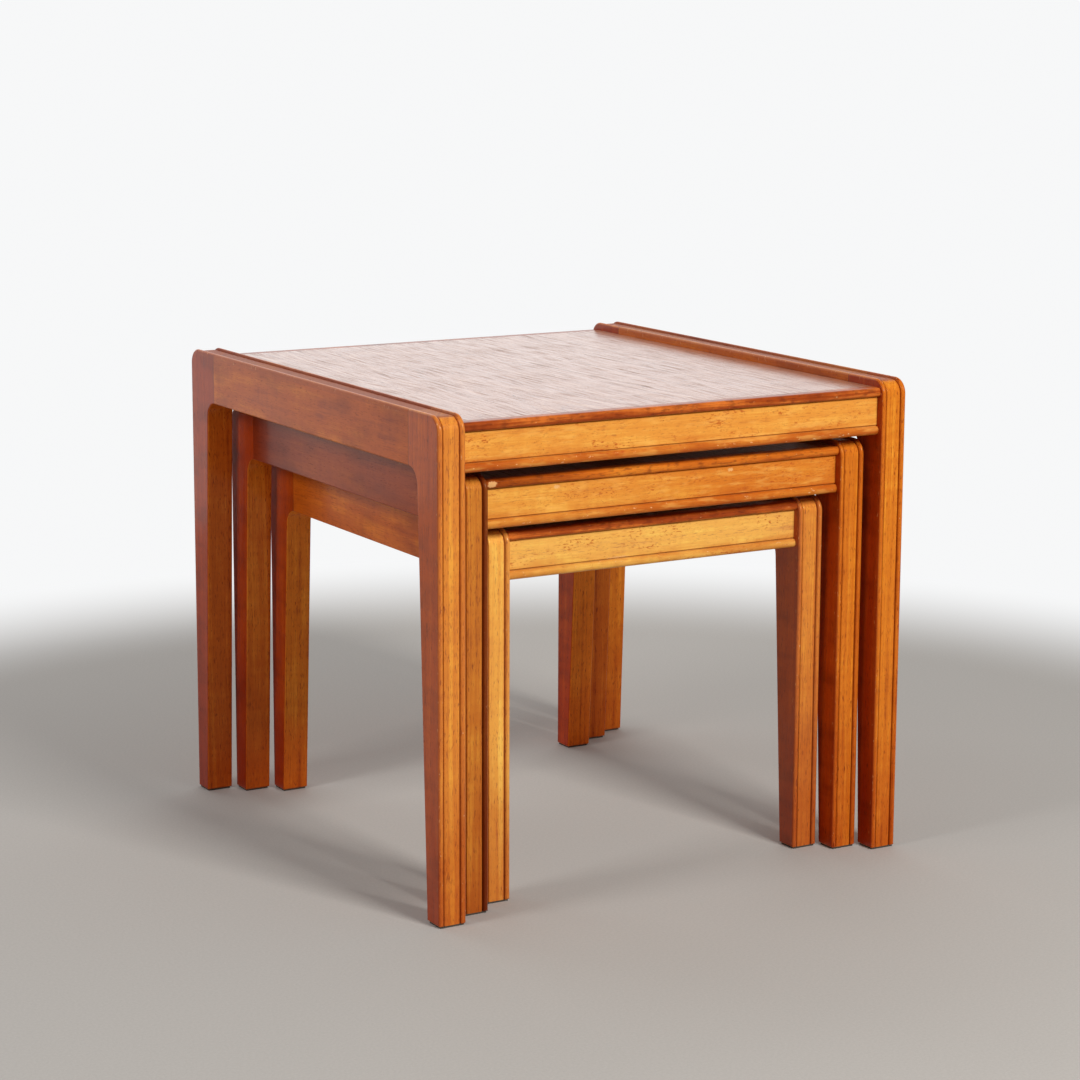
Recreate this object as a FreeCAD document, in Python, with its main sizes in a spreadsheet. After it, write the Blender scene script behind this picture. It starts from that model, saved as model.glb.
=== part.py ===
"""Nest of three side tables, as a parametric FreeCAD document.

Each table has two side frames, a front and a back apron, and a veneered top panel that sits a
little below the frames. A side frame is two tapered legs with a rail butted between their heads.
A moulding of two beads with a raised field between them runs up the outer edge of every leg,
round its top corner and along the rail.

Frame: X across the front, Y from front to back, Z up. The origin is on the floor, in the middle
of the large table. "Depth" below is a distance inward from a table's front or back.
"""
import FreeCAD, Part
import math
import os
import re
import Sketcher
from FreeCAD import Vector

# Driving dimensions in millimetres: alias, value, meaning.
DIMENSIONS = [
    ("large_width", 470, "overall width of the large table"),
    ("large_depth", 495, "overall depth of the large table"),
    ("large_height", 430, "height of its side frames"),
    ("large_top", 422.6, "height of its top surface"),
    ("large_shift", 0, "sideways place in the nest"),
    ("medium_width", 408, "overall width of the medium table"),
    ("medium_depth", 458, "overall depth of the medium table"),
    ("medium_height", 375, "height of its side frames"),
    ("medium_top", 370.1, "height of its top surface"),
    ("medium_shift", 0.5, "sideways place in the nest"),
    ("small_width", 346, "overall width of the small table"),
    ("small_depth", 421, "overall depth of the small table"),
    ("small_height", 323.5, "height of its side frames"),
    ("small_top", 320.6, "height of its top surface"),
    ("small_shift", 1, "sideways place in the nest"),
    ("stock", 25.5, "thickness of the legs and side rails"),
    ("head", 52, "leg width front to back at its head"),
    ("foot", 22, "leg width front to back at the floor"),
    ("corner", 14, "radius of a leg's outer top corner"),
    ("crook", 15, "radius where a leg meets the rail's underside"),
    ("band", 9, "depth of the moulded band on a leg"),
    ("lap", 1, "overlap of the band and the leg's web"),
    ("bead", 4.6, "width of each bead of the moulding"),
    ("quirk", 0.8, "width of the groove beside a bead"),
    ("quirk_depth", 3, "depth of that groove below the bead"),
    ("field_depth", 1.6, "depth of the field between the grooves"),
    ("field_round", 1.1, "radius along the field's edges"),
    ("arris", 1.2, "radius of the eased inner edges"),
    ("rail_drop", 39.8, "top surface down to a rail's underside"),
    ("apron_drop", 42, "top surface down to an apron's underside"),
    ("apron_depth", 8.5, "leg front back to an apron's face"),
    ("apron_stock", 18, "thickness of an apron"),
    ("apron_bead", 7.7, "height of the bead along an apron"),
    ("apron_swell", 3, "how far that bead stands out"),
    ("apron_groove", 1, "width of the groove above that bead"),
    ("groove_depth", 1.2, "depth of that groove"),
    ("panel", 8, "thickness of the top panel and its lippings"),
    ("panel_gap", 0.2, "gap between the panel and the frames"),
    ("lipping_depth", 4, "leg front back to the lipping's nose"),
    ("lipping_width", 12, "width of a lipping, front to back"),
    ("nose", 3.4, "radius along the lipping's edges"),
    ("felt", 1.5, "thickness of the felt under each foot"),
    ("felt_inset", 1.6, "how far the felt stays inside the foot"),
    ("bevel", 1, "bevel round the bottom of each foot"),
    ("dowel", 8, "dowel diameter"),
    ("dowel_hole", 8.2, "diameter of a dowel's hole"),
    ("dowel_end", 1, "hole depth beyond the dowel's end"),
    ("dowel_edge", 0.8, "chamfer on a dowel's ends"),
    ("rail_dowel", 20, "half length of a rail dowel"),
    ("rail_dowel_low", 12, "rail underside up to the lower dowel"),
    ("rail_dowel_high", 30, "rail underside up to the upper dowel"),
    ("apron_dowel", 16, "half length of an apron dowel"),
    ("apron_dowel_low", 11, "apron underside up to the lower dowel"),
    ("apron_dowel_high", 25, "apron underside up to the upper dowel"),
    ("block", 28, "side of a corner block, seen from above"),
    ("block_height", 24, "height of a corner block"),
    ("block_near", 10, "frame or apron to a block's upright screw"),
    ("block_far", 19, "frame to a block's level screw"),
    ("block_level", 8, "panel down to a block's level screw"),
    ("batten", 14, "height and width of a side batten"),
    ("batten_inset", 8, "corner block to the end of a batten"),
    ("batten_screw", 25, "batten end to its first upright screw"),
    ("shank", 3.5, "screw shank diameter"),
    ("shank_hole", 3.6, "diameter of a screw's hole"),
    ("screw_head", 6.8, "screw head diameter"),
    ("head_height", 2.2, "height of a screw head"),
    ("slot", 1, "width of the slot in a screw head"),
    ("slot_depth", 1, "depth of that slot"),
    ("panel_bite", 5.5, "screw length inside the top panel"),
    ("side_bite", 12, "screw length inside a rail or apron"),
    ("bite_end", 0.5, "hole depth beyond a screw's end"),
]
TABLES = ("large", "medium", "small")
ALIASES = {alias for alias, value, meaning in DIMENSIONS}
FRONT, BACK = -1, 1
LEFT, RIGHT = -1, 1
ENDS = {"front": FRONT, "back": BACK}
SIDES = {"left": LEFT, "right": RIGHT}
# The sketch normal of each origin plane, as a sign along its world axis.
PLANE_NORMAL = {"XY_Plane": 1, "XZ_Plane": -1, "YZ_Plane": 1}
TOLERANCE = 0.01

doc = FreeCAD.newDocument("NestOfTables")
sheet = doc.addObject("Spreadsheet::Sheet", "Sizes")


# ---- Sheet and expressions ----

def fill_sheet():
    for row, (alias, value, meaning) in enumerate(DIMENSIONS, start=1):
        sheet.set(f"A{row}", meaning)
        sheet.set(f"B{row}", str(value))
        sheet.setAlias(f"B{row}", alias)
    doc.recompute()


def linked(words):
    """Turn plain words such as 'large_width / 2' into an expression that reads the sheet."""
    return re.sub(r"[a-z_]+", lambda m: f"Sizes.{m[0]}" if m[0] in ALIASES else m[0], words)


def number(words):
    value = sheet.evalExpression(linked(words))
    return float(getattr(value, "Value", value))


def bind(item, name, words):
    item.setExpression(name, linked(words))


# ---- Sketches ----

def new_body(name, across="0", groups=False):
    """A body named after its sub-part, moved sideways by the expression in across."""
    body = doc.addObject("PartDesign::Body", name)
    body.Label = name
    body.AllowCompound = groups
    bind(body, "Placement.Base.x", across)
    return body


def new_sketch(body, name, role, offset="0"):
    """A sketch on one of the body's own origin planes, moved along that world axis."""
    sketch = body.newObject("Sketcher::SketchObject", f"{body.Label}_{name}")
    plane = next(item for item in body.Origin.OriginFeatures if item.Role == role)
    sketch.AttachmentSupport = [(plane, "")]
    sketch.MapMode = "FlatFace"
    bind(sketch, "AttachmentOffset.Base.z", f"{PLANE_NORMAL[role]} * ({offset})")
    return sketch


def hold_point(sketch, piece, end, across, up):
    """Fix one end of a sketch piece at a place given by two expressions."""
    for kind, words, axis in (("DistanceX", across, -2), ("DistanceY", up, -1)):
        value = number(words)
        if abs(value) < TOLERANCE:
            sketch.addConstraint(Sketcher.Constraint("PointOnObject", piece, end, axis))
            continue
        row = sketch.addConstraint(Sketcher.Constraint(kind, -1, 1, piece, end, value))
        bind(sketch, f"Constraints[{row}]", words)


def add_outline(sketch, points, closed=True):
    """Draw lines and arcs through points.

    A point is (across, up) where a line starts, or (across, up, radius, centre) where an arc
    starts; the centre only chooses the arc's side.
    """
    count = len(points) if closed else len(points) - 1
    ends = []
    for index in range(count):
        here, there = points[index], points[(index + 1) % len(points)]
        start = Vector(number(here[0]), number(here[1]), 0)
        stop = Vector(number(there[0]), number(there[1]), 0)
        if len(here) == 2:
            piece = sketch.addGeometry(Part.LineSegment(start, stop), False)
            ends.append((piece, 1, 2))
            continue
        centre = Vector(number(here[3][0]), number(here[3][1]), 0)
        first, last = start - centre, stop - centre
        forward = first.cross(last).z > 0
        angles = [math.atan2(v.y, v.x) for v in ((first, last) if forward else (last, first))]
        circle = Part.Circle(centre, Vector(0, 0, 1), number(here[2]))
        piece = sketch.addGeometry(Part.ArcOfCircle(circle, *angles), False)
        row = sketch.addConstraint(Sketcher.Constraint("Radius", piece, number(here[2])))
        bind(sketch, f"Constraints[{row}]", here[2])
        ends.append((piece, 1, 2) if forward else (piece, 2, 1))
    for index, (piece, start, stop) in enumerate(ends):
        hold_point(sketch, piece, start, *points[index][:2])
        if closed or index + 1 < count:
            after, its_start = ends[(index + 1) % count][:2]
            sketch.addConstraint(Sketcher.Constraint("Coincident", piece, stop, after, its_start))
    if not closed:
        hold_point(sketch, ends[-1][0], ends[-1][2], *points[-1][:2])


def add_circles(sketch, spots, diameter):
    for across, up in spots:
        centre = Vector(number(across), number(up), 0)
        piece = sketch.addGeometry(Part.Circle(centre, Vector(0, 0, 1), number(diameter) / 2), False)
        row = sketch.addConstraint(Sketcher.Constraint("Diameter", piece, number(diameter)))
        bind(sketch, f"Constraints[{row}]", diameter)
        hold_point(sketch, piece, 3, across, up)


def add_box(sketch, low, high):
    add_outline(sketch, [low, (high[0], low[1]), high, (low[0], high[1])])


# ---- Features ----

def extrude(body, kind, sketch, length, toward=0):
    """A pad or a pocket from a sketch: toward is the sign along the world axis, 0 for both."""
    feature = body.newObject(f"PartDesign::{kind}", f"{sketch.Name}_{kind.lower()}")
    feature.Profile = sketch
    feature.SideType = "One side" if toward else "Symmetric"
    bind(feature, "Length", length)
    role = sketch.AttachmentSupport[0][0].Role
    along_normal = toward * PLANE_NORMAL[role] > 0
    feature.Reversed = along_normal if kind == "Pocket" else bool(toward) and not along_normal
    before = body.Shape.Volume if kind == "Pocket" else 0
    doc.recompute()
    if kind == "Pocket" and not body.Shape.Volume < before:
        raise RuntimeError(f"{feature.Name} cuts nothing")
    return feature


def drill(body, name, role, offset, spots, diameter, length, toward):
    sketch = new_sketch(body, name, role, offset)
    add_circles(sketch, spots, diameter)
    return extrude(body, "Pocket", sketch, length, toward)


def round_edges(body, name, radius, wanted, kind="Fillet"):
    """Fillet or chamfer the edges of the body that the wanted test accepts."""
    base = body.Tip
    names = [f"Edge{i}" for i, edge in enumerate(base.Shape.Edges, start=1) if wanted(edge)]
    if not names:
        raise RuntimeError(f"{body.Label}: no edge for {name}")
    feature = body.newObject(f"PartDesign::{kind}", f"{body.Label}_{name}")
    feature.Base = (base, names)
    bind(feature, "Radius" if kind == "Fillet" else "Size", radius)
    doc.recompute()


# ---- Words shared by the sub-parts ----

def from_end(table, end, depth):
    """Y of a place at some depth in from the table's front or back."""
    return f"{end} * ({table}_depth / 2 - ({depth}))"


def inner_face(table, side):
    """X of a side frame's inner face, before the table's own shift."""
    return f"{side} * ({table}_width / 2 - stock)"


def moulding(place):
    """Points of the moulded edge, from one side face to the other.

    place(across, depth) turns a place on the section into sketch expressions.
    """
    points = []
    for side in (-1, 1):
        outer, crest = f"{side} * stock / 2", f"{side} * (stock / 2 - bead / 2)"
        inner, field = f"{side} * (stock / 2 - bead)", f"{side} * (stock / 2 - bead - quirk)"
        plateau = f"{side} * (stock / 2 - bead - quirk - field_round)"
        bead_centre = place(crest, "bead / 2")
        field_centre = place(plateau, "field_depth + field_round")
        run = [
            (place(outer, "bead / 2"), ("bead / 2", bead_centre)),
            (place(crest, "0"), ("bead / 2", bead_centre)),
            (place(inner, "bead / 2"), ()),
            (place(inner, "quirk_depth"), ()),
            (place(field, "quirk_depth"), ()),
            (place(field, "field_depth + field_round"), ("field_round", field_centre)),
            (place(plateau, "field_depth"), ()),
        ]
        if side < 0:
            points += [spot + arc for spot, arc in run]
            continue
        # The far half runs the other way, so each arc starts at its other end.
        spots = [spot for spot, arc in reversed(run)]
        arcs = [arc for spot, arc in reversed(run)][1:] + [()]
        points += [spot + arc for spot, arc in zip(spots, arcs)]
    return points


def crook_tilt(table):
    """Angle of a leg's inner edge from upright: it runs from the foot to touch the crook."""
    run = "(head - foot)"
    rise = f"({table}_top - rail_drop - crook - felt)"
    return f"(atan({run} / {rise}) - asin(crook / hypot({run}; {rise})))"


# ---- Sub-parts ----

def make_leg(table, end_name, side_name):
    end, side = ENDS[end_name], SIDES[side_name]
    middle = f"{table}_shift + {side} * ({table}_width / 2 - stock / 2)"
    body = new_body(f"{table}_{end_name}_{side_name}_leg", middle)
    top, underside = f"{table}_height", f"{table}_top - rail_drop"

    def spot(depth, up):
        return from_end(table, end, depth), up

    # The moulded band follows the outer edge from the foot to the rail joint.
    route = new_sketch(body, "route", "YZ_Plane")
    add_outline(route, [
        spot("0", "felt"),
        spot("0", f"{top} - corner") + ("corner", spot("corner", f"{top} - corner")),
        spot("corner", top),
        spot("head", top),
    ], closed=False)
    section = new_sketch(body, "section", "XY_Plane", "felt")
    edge = moulding(lambda across, depth: (across, from_end(table, end, depth)))
    back = from_end(table, end, "band")
    add_outline(section, edge + [("stock / 2", back), ("-stock / 2", back)])
    band = body.newObject("PartDesign::AdditivePipe", f"{body.Label}_band")
    band.Profile = section
    band.Spine = (route, ["Edge1", "Edge2", "Edge3"])
    doc.recompute()

    # The web fills the leg behind the band, with the taper and the crook at the rail.
    tilt = crook_tilt(table)
    inside = "(band - lap)"
    web = new_sketch(body, "web", "YZ_Plane")
    add_outline(web, [
        spot(inside, "felt"),
        spot(inside, f"{top} - corner")
        + (f"corner - {inside}", spot("corner", f"{top} - corner")),
        spot("corner", f"{top} - {inside}"),
        spot("head", f"{top} - {inside}"),
        spot("head", underside) + ("crook", spot("head", f"{underside} - crook")),
        spot(f"head - crook * cos({tilt})", f"{underside} - crook + crook * sin({tilt})"),
        spot("foot", "felt"),
    ])
    extrude(body, "Pad", web, "stock")

    half = number("stock") / 2
    rail_level = number(underside)

    def inner_edge(part_edge):
        box = part_edge.BoundBox
        flat = box.XLength < TOLERANCE and abs(abs(box.XMin) - half) < TOLERANCE
        return flat and box.ZMax < rail_level + TOLERANCE and box.ZLength > number("arris")

    round_edges(body, "arrises", "arris", inner_edge)

    # A small bevel all round the bottom of the foot.
    ends = new_sketch(body, "bevel_ends", "YZ_Plane")
    for depth, way in (("0", 1), ("foot", -1)):
        add_outline(ends, [
            spot(f"{depth} - {way} * bevel", "felt - bevel"),
            spot(f"{depth} + {way} * bevel * 2", "felt - bevel"),
            spot(f"{depth} - {way} * bevel", "felt + bevel * 2"),
        ])
    extrude(body, "Pocket", ends, "stock * 2")
    flanks = new_sketch(body, "bevel_flanks", "XZ_Plane", from_end(table, end, "foot / 2"))
    for way in (-1, 1):
        add_outline(flanks, [
            (f"{way} * (stock / 2 + bevel)", "felt - bevel"),
            (f"{way} * (stock / 2 - bevel * 2)", "felt - bevel"),
            (f"{way} * (stock / 2 + bevel)", "felt + bevel * 2"),
        ])
    extrude(body, "Pocket", flanks, "foot * 2")

    drill(body, "rail_holes", "XZ_Plane", from_end(table, end, "head"),
          [("0", f"{underside} + rail_dowel_low"), ("0", f"{underside} + rail_dowel_high")],
          "dowel_hole", "rail_dowel + dowel_end", toward=end)
    across = from_end(table, end, "apron_depth + apron_stock / 2")
    level = f"{table}_top - apron_drop"
    drill(body, "apron_holes", "YZ_Plane", f"{-side} * stock / 2",
          [(across, f"{level} + apron_dowel_low"), (across, f"{level} + apron_dowel_high")],
          "dowel_hole", "apron_dowel + dowel_end", toward=side)
    return body


def make_rail(table, side_name):
    side = SIDES[side_name]
    middle = f"{table}_shift + {side} * ({table}_width / 2 - stock / 2)"
    body = new_body(f"{table}_{side_name}_rail", middle)
    underside, half = f"{table}_top - rail_drop", f"({table}_depth / 2 - head)"
    section = new_sketch(body, "section", "XZ_Plane")
    edge = moulding(lambda across, depth: (across, f"{table}_height - ({depth})"))
    points = list(edge)
    for way in (1, -1):
        centre = (f"{way} * (stock / 2 - arris)", f"{underside} + arris")
        corner = [(f"{way} * stock / 2", centre[1]), (centre[0], underside)]
        start, stop = corner if way > 0 else reversed(corner)
        points += [start + ("arris", centre), stop]
    add_outline(section, points)
    extrude(body, "Pad", section, f"2 * {half}")
    for end_name, end in ENDS.items():
        drill(body, f"{end_name}_holes", "XZ_Plane", f"{end} * {half}",
              [("0", f"{underside} + rail_dowel_low"), ("0", f"{underside} + rail_dowel_high")],
              "dowel_hole", "rail_dowel + dowel_end", toward=-end)
    drill(body, "screw_holes", "YZ_Plane", f"{-side} * stock / 2", batten_level_spots(table),
          "shank_hole", "side_bite + bite_end", toward=side)
    return body


def make_apron(table, end_name):
    end = ENDS[end_name]
    body = new_body(f"{table}_{end_name}_apron", f"{table}_shift")
    low, high = f"{table}_top - apron_drop", f"{table}_top - panel"
    length = f"{table}_width - 2 * stock"

    def spot(depth, up):
        return from_end(table, end, depth), up

    # The bead's radius comes from its height and how far it swells out of the face.
    bow = "((apron_bead * apron_bead / 4 + apron_swell * apron_swell) / (2 * apron_swell))"
    bead_centre = spot(f"apron_depth - apron_swell + {bow}", f"{low} + apron_bead / 2")
    crest = spot("apron_depth - apron_swell", f"{low} + apron_bead / 2")
    inner = "apron_depth + apron_stock"
    section = new_sketch(body, "section", "YZ_Plane")
    add_outline(section, [
        spot("apron_depth", low) + (bow, bead_centre),
        crest + (bow, bead_centre),
        spot("apron_depth", f"{low} + apron_bead"),
        spot("apron_depth + groove_depth", f"{low} + apron_bead"),
        spot("apron_depth + groove_depth", f"{low} + apron_bead + apron_groove"),
        spot("apron_depth", f"{low} + apron_bead + apron_groove"),
        spot("apron_depth", f"{high} - groove_depth"),
        spot("apron_depth + groove_depth", high),
        spot(inner, high),
        spot(inner, f"{low} + arris") + ("arris", spot(f"{inner} - arris", f"{low} + arris")),
        spot(f"{inner} - arris", low),
    ])
    extrude(body, "Pad", section, length)
    across = from_end(table, end, "apron_depth + apron_stock / 2")
    for side_name, side in SIDES.items():
        drill(body, f"{side_name}_holes", "YZ_Plane", f"{side} * ({length}) / 2",
              [(across, f"{low} + apron_dowel_low"), (across, f"{low} + apron_dowel_high")],
              "dowel_hole", "apron_dowel + dowel_end", toward=-side)
    drill(body, "screw_holes", "XZ_Plane", from_end(table, end, inner),
          block_level_spots(table), "shank_hole", "side_bite + bite_end", toward=end)
    return body


def make_top(table):
    body = new_body(f"{table}_top_panel", f"{table}_shift")
    outline = new_sketch(body, "outline", "XY_Plane", f"{table}_top - panel")
    half_width = f"({table}_width / 2 - stock - panel_gap)"
    half_depth = f"({table}_depth / 2 - lipping_depth - lipping_width)"
    add_box(outline, (f"-{half_width}", f"-{half_depth}"), (half_width, half_depth))
    extrude(body, "Pad", outline, "panel", toward=1)
    drill(body, "screw_holes", "XY_Plane", f"{table}_top - panel", upright_spots(table),
          "shank_hole", "panel_bite + bite_end", toward=1)
    return body


def make_lipping(table, end_name):
    end = ENDS[end_name]
    body = new_body(f"{table}_{end_name}_lipping", f"{table}_shift")
    low, high = f"{table}_top - panel", f"{table}_top"

    def spot(depth, up):
        return from_end(table, end, depth), up

    section = new_sketch(body, "section", "YZ_Plane")
    add_outline(section, [
        spot("lipping_depth + nose", high)
        + ("nose", spot("lipping_depth + nose", f"{high} - nose")),
        spot("lipping_depth", f"{high} - nose"),
        spot("lipping_depth", f"{low} + nose")
        + ("nose", spot("lipping_depth + nose", f"{low} + nose")),
        spot("lipping_depth + nose", low),
        spot("lipping_depth + lipping_width", low),
        spot("lipping_depth + lipping_width", high),
    ])
    extrude(body, "Pad", section, f"{table}_width - 2 * stock")
    return body


def make_felt(table):
    body = new_body(f"{table}_foot_felts", f"{table}_shift", groups=True)
    outline = new_sketch(body, "outline", "XY_Plane")
    for side in SIDES.values():
        for end in ENDS.values():
            outer = f"{side} * ({table}_width / 2 - felt_inset)"
            inner = f"{side} * ({table}_width / 2 - stock + felt_inset)"
            add_box(outline, (outer, from_end(table, end, "felt_inset")),
                    (inner, from_end(table, end, "foot - felt_inset")))
    extrude(body, "Pad", outline, "felt", toward=1)
    return body


def chamfer_dowels(body):
    radius = number("dowel") / 2

    def rim(part_edge):
        curve = part_edge.Curve
        return isinstance(curve, Part.Circle) and abs(curve.Radius - radius) < TOLERANCE

    round_edges(body, "edges", "dowel_edge", rim, kind="Chamfer")


def make_rail_dowels(table):
    body = new_body(f"{table}_rail_dowels", f"{table}_shift", groups=True)
    level = f"{table}_top - rail_drop"
    for end_name, end in ENDS.items():
        sketch = new_sketch(body, end_name, "XZ_Plane", from_end(table, end, "head"))
        middles = [f"{side} * ({table}_width / 2 - stock / 2)" for side in SIDES.values()]
        levels = [f"{level} + rail_dowel_low", f"{level} + rail_dowel_high"]
        add_circles(sketch, [(across, up) for across in middles for up in levels], "dowel")
        extrude(body, "Pad", sketch, "2 * rail_dowel")
    chamfer_dowels(body)
    return body


def make_apron_dowels(table):
    body = new_body(f"{table}_apron_dowels", f"{table}_shift", groups=True)
    level = f"{table}_top - apron_drop"
    for side_name, side in SIDES.items():
        sketch = new_sketch(body, side_name, "YZ_Plane", inner_face(table, side))
        places = [from_end(table, end, "apron_depth + apron_stock / 2") for end in ENDS.values()]
        levels = [f"{level} + apron_dowel_low", f"{level} + apron_dowel_high"]
        add_circles(sketch, [(across, up) for across in places for up in levels], "dowel")
        extrude(body, "Pad", sketch, "2 * apron_dowel")
    chamfer_dowels(body)
    return body


def block_place(table, end, distance):
    """Y at a distance in from the apron's inner face."""
    return from_end(table, end, f"apron_depth + apron_stock + {distance}")


def block_upright_spots(table):
    return [(f"{inner_face(table, side)} - {side} * block_near",
             block_place(table, end, "block_near"))
            for side in SIDES.values() for end in ENDS.values()]


def block_level_spots(table):
    return [(f"{inner_face(table, side)} - {side} * block_far",
             f"{table}_top - panel - block_level") for side in SIDES.values()]


def batten_half(table):
    return f"({table}_depth / 2 - apron_depth - apron_stock - block - batten_inset)"


def batten_upright_spots(table):
    reach = f"({batten_half(table)} - batten_screw)"
    return [(f"{inner_face(table, side)} - {side} * batten / 2", f"{way} * {reach}")
            for side in SIDES.values() for way in (-1, 0, 1)]


def batten_level_spots(table):
    return [(f"{way} * {batten_half(table)} / 2", f"{table}_top - panel - batten / 2")
            for way in (-1, 1)]


def upright_spots(table):
    return block_upright_spots(table) + batten_upright_spots(table)


def make_corner_blocks(table):
    body = new_body(f"{table}_corner_blocks", f"{table}_shift", groups=True)
    low = f"{table}_top - panel - block_height"
    outline = new_sketch(body, "outline", "XY_Plane", low)
    for side in SIDES.values():
        for end in ENDS.values():
            face = inner_face(table, side)
            add_box(outline, (face, block_place(table, end, "0")),
                    (f"{face} - {side} * block", block_place(table, end, "block")))
    extrude(body, "Pad", outline, "block_height", toward=1)
    drill(body, "upright_holes", "XY_Plane", low, block_upright_spots(table),
          "shank_hole", "block_height", toward=1)
    for end_name, end in ENDS.items():
        drill(body, f"{end_name}_holes", "XZ_Plane", block_place(table, end, "block"),
              block_level_spots(table), "shank_hole", "block", toward=end)
    return body


def make_battens(table):
    body = new_body(f"{table}_side_battens", f"{table}_shift", groups=True)
    low = f"{table}_top - panel - batten"
    outline = new_sketch(body, "outline", "XY_Plane", low)
    half = batten_half(table)
    for side in SIDES.values():
        face = inner_face(table, side)
        add_box(outline, (face, f"-{half}"), (f"{face} - {side} * batten", half))
    extrude(body, "Pad", outline, "batten", toward=1)
    drill(body, "upright_holes", "XY_Plane", low, batten_upright_spots(table),
          "shank_hole", "batten", toward=1)
    for side_name, side in SIDES.items():
        drill(body, f"{side_name}_holes", "YZ_Plane",
              f"{inner_face(table, side)} - {side} * batten",
              batten_level_spots(table), "shank_hole", "batten", toward=side)
    return body


def add_screws(body, name, role, offset, spots, length, toward):
    """Round-head slotted screws: the head's seat is at offset and the shank points toward."""
    shank = new_sketch(body, f"{name}_shank", role, offset)
    add_circles(shank, spots, "shank")
    extrude(body, "Pad", shank, length, toward)
    head = new_sketch(body, f"{name}_head", role, offset)
    add_circles(head, spots, "screw_head")
    extrude(body, "Pad", head, "head_height", -toward)
    slot = new_sketch(body, f"{name}_slot", role, f"{offset} - {toward} * head_height")
    for across, up in spots:
        add_box(slot, (f"{across} - screw_head", f"{up} - slot / 2"),
                (f"{across} + screw_head", f"{up} + slot / 2"))
    extrude(body, "Pocket", slot, "slot_depth", toward)


def make_top_screws(table):
    body = new_body(f"{table}_top_screws", f"{table}_shift", groups=True)
    add_screws(body, "block", "XY_Plane", f"{table}_top - panel - block_height",
               block_upright_spots(table), "block_height + panel_bite", toward=1)
    add_screws(body, "batten", "XY_Plane", f"{table}_top - panel - batten",
               batten_upright_spots(table), "batten + panel_bite", toward=1)
    return body


def make_frame_screws(table):
    body = new_body(f"{table}_frame_screws", f"{table}_shift", groups=True)
    for end_name, end in ENDS.items():
        add_screws(body, end_name, "XZ_Plane", block_place(table, end, "block"),
                   block_level_spots(table), "block + side_bite", toward=end)
    for side_name, side in SIDES.items():
        add_screws(body, side_name, "YZ_Plane", f"{inner_face(table, side)} - {side} * batten",
                   batten_level_spots(table), "batten + side_bite", toward=side)
    return body


def make_table(table):
    parts = [make_leg(table, end, side) for end in ENDS for side in SIDES]
    parts += [make_rail(table, side) for side in SIDES]
    parts += [make_apron(table, end) for end in ENDS]
    parts += [make_top(table)]
    parts += [make_lipping(table, end) for end in ENDS]
    parts += [make_felt(table), make_rail_dowels(table), make_apron_dowels(table)]
    parts += [make_corner_blocks(table), make_battens(table)]
    parts += [make_top_screws(table), make_frame_screws(table)]
    return parts


def check_document(parts):
    doc.recompute()
    for item in doc.Objects:
        if {"Invalid", "Error"} & set(item.State):
            raise RuntimeError(f"{item.Name} failed: {item.State}")
    for body in parts:
        if body.Shape.isNull() or not body.Shape.isValid() or not body.Shape.Solids:
            raise RuntimeError(f"{body.Label} has no valid solid")


def write_parts(parts):
    os.makedirs("parts", exist_ok=True)
    for body in parts:
        body.Shape.exportStep(f"parts/{body.Label}.step")


fill_sheet()
all_parts = [part for table in TABLES for part in make_table(table)]
check_document(all_parts)
write_parts(all_parts)
for part in all_parts:
    print(f"{part.Label}: {len(part.Shape.Solids)} solids, {part.Shape.Volume / 1000:.1f} cm3")
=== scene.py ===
"""Looks for a nest of three side tables: lacquered teak frames, veneered tops, a plain studio."""
import math

import bmesh
import bpy
from mathutils import Matrix, Vector


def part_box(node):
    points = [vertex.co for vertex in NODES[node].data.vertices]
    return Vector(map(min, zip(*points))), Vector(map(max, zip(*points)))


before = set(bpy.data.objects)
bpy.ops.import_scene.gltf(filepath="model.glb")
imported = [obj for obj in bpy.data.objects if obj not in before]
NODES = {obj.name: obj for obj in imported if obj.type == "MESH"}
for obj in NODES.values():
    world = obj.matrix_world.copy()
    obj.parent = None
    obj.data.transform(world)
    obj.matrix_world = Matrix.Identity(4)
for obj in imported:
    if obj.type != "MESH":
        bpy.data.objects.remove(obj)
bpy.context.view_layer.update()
MM = 0.001
TABLES = ("large", "medium", "small")

# Distances of the frame's moulding, in millimetres: from the middle line of a leg or rail,
# or inward from its face.
STOCK_HALF = 12.75
QUIRK_LINE = 7.75
BAND_DEPTH = 5.0
HEAD_DEPTH = 52.0
APRON_BEAD = 7.7


def srgb(red, green, blue):
    """A colour given as 0-255 display values, as the linear RGBA that the nodes take."""
    def linear(value):
        value /= 255
        return value / 12.92 if value <= 0.04045 else ((value + 0.055) / 1.055) ** 2.4
    return (linear(red), linear(green), linear(blue), 1.0)


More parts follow.
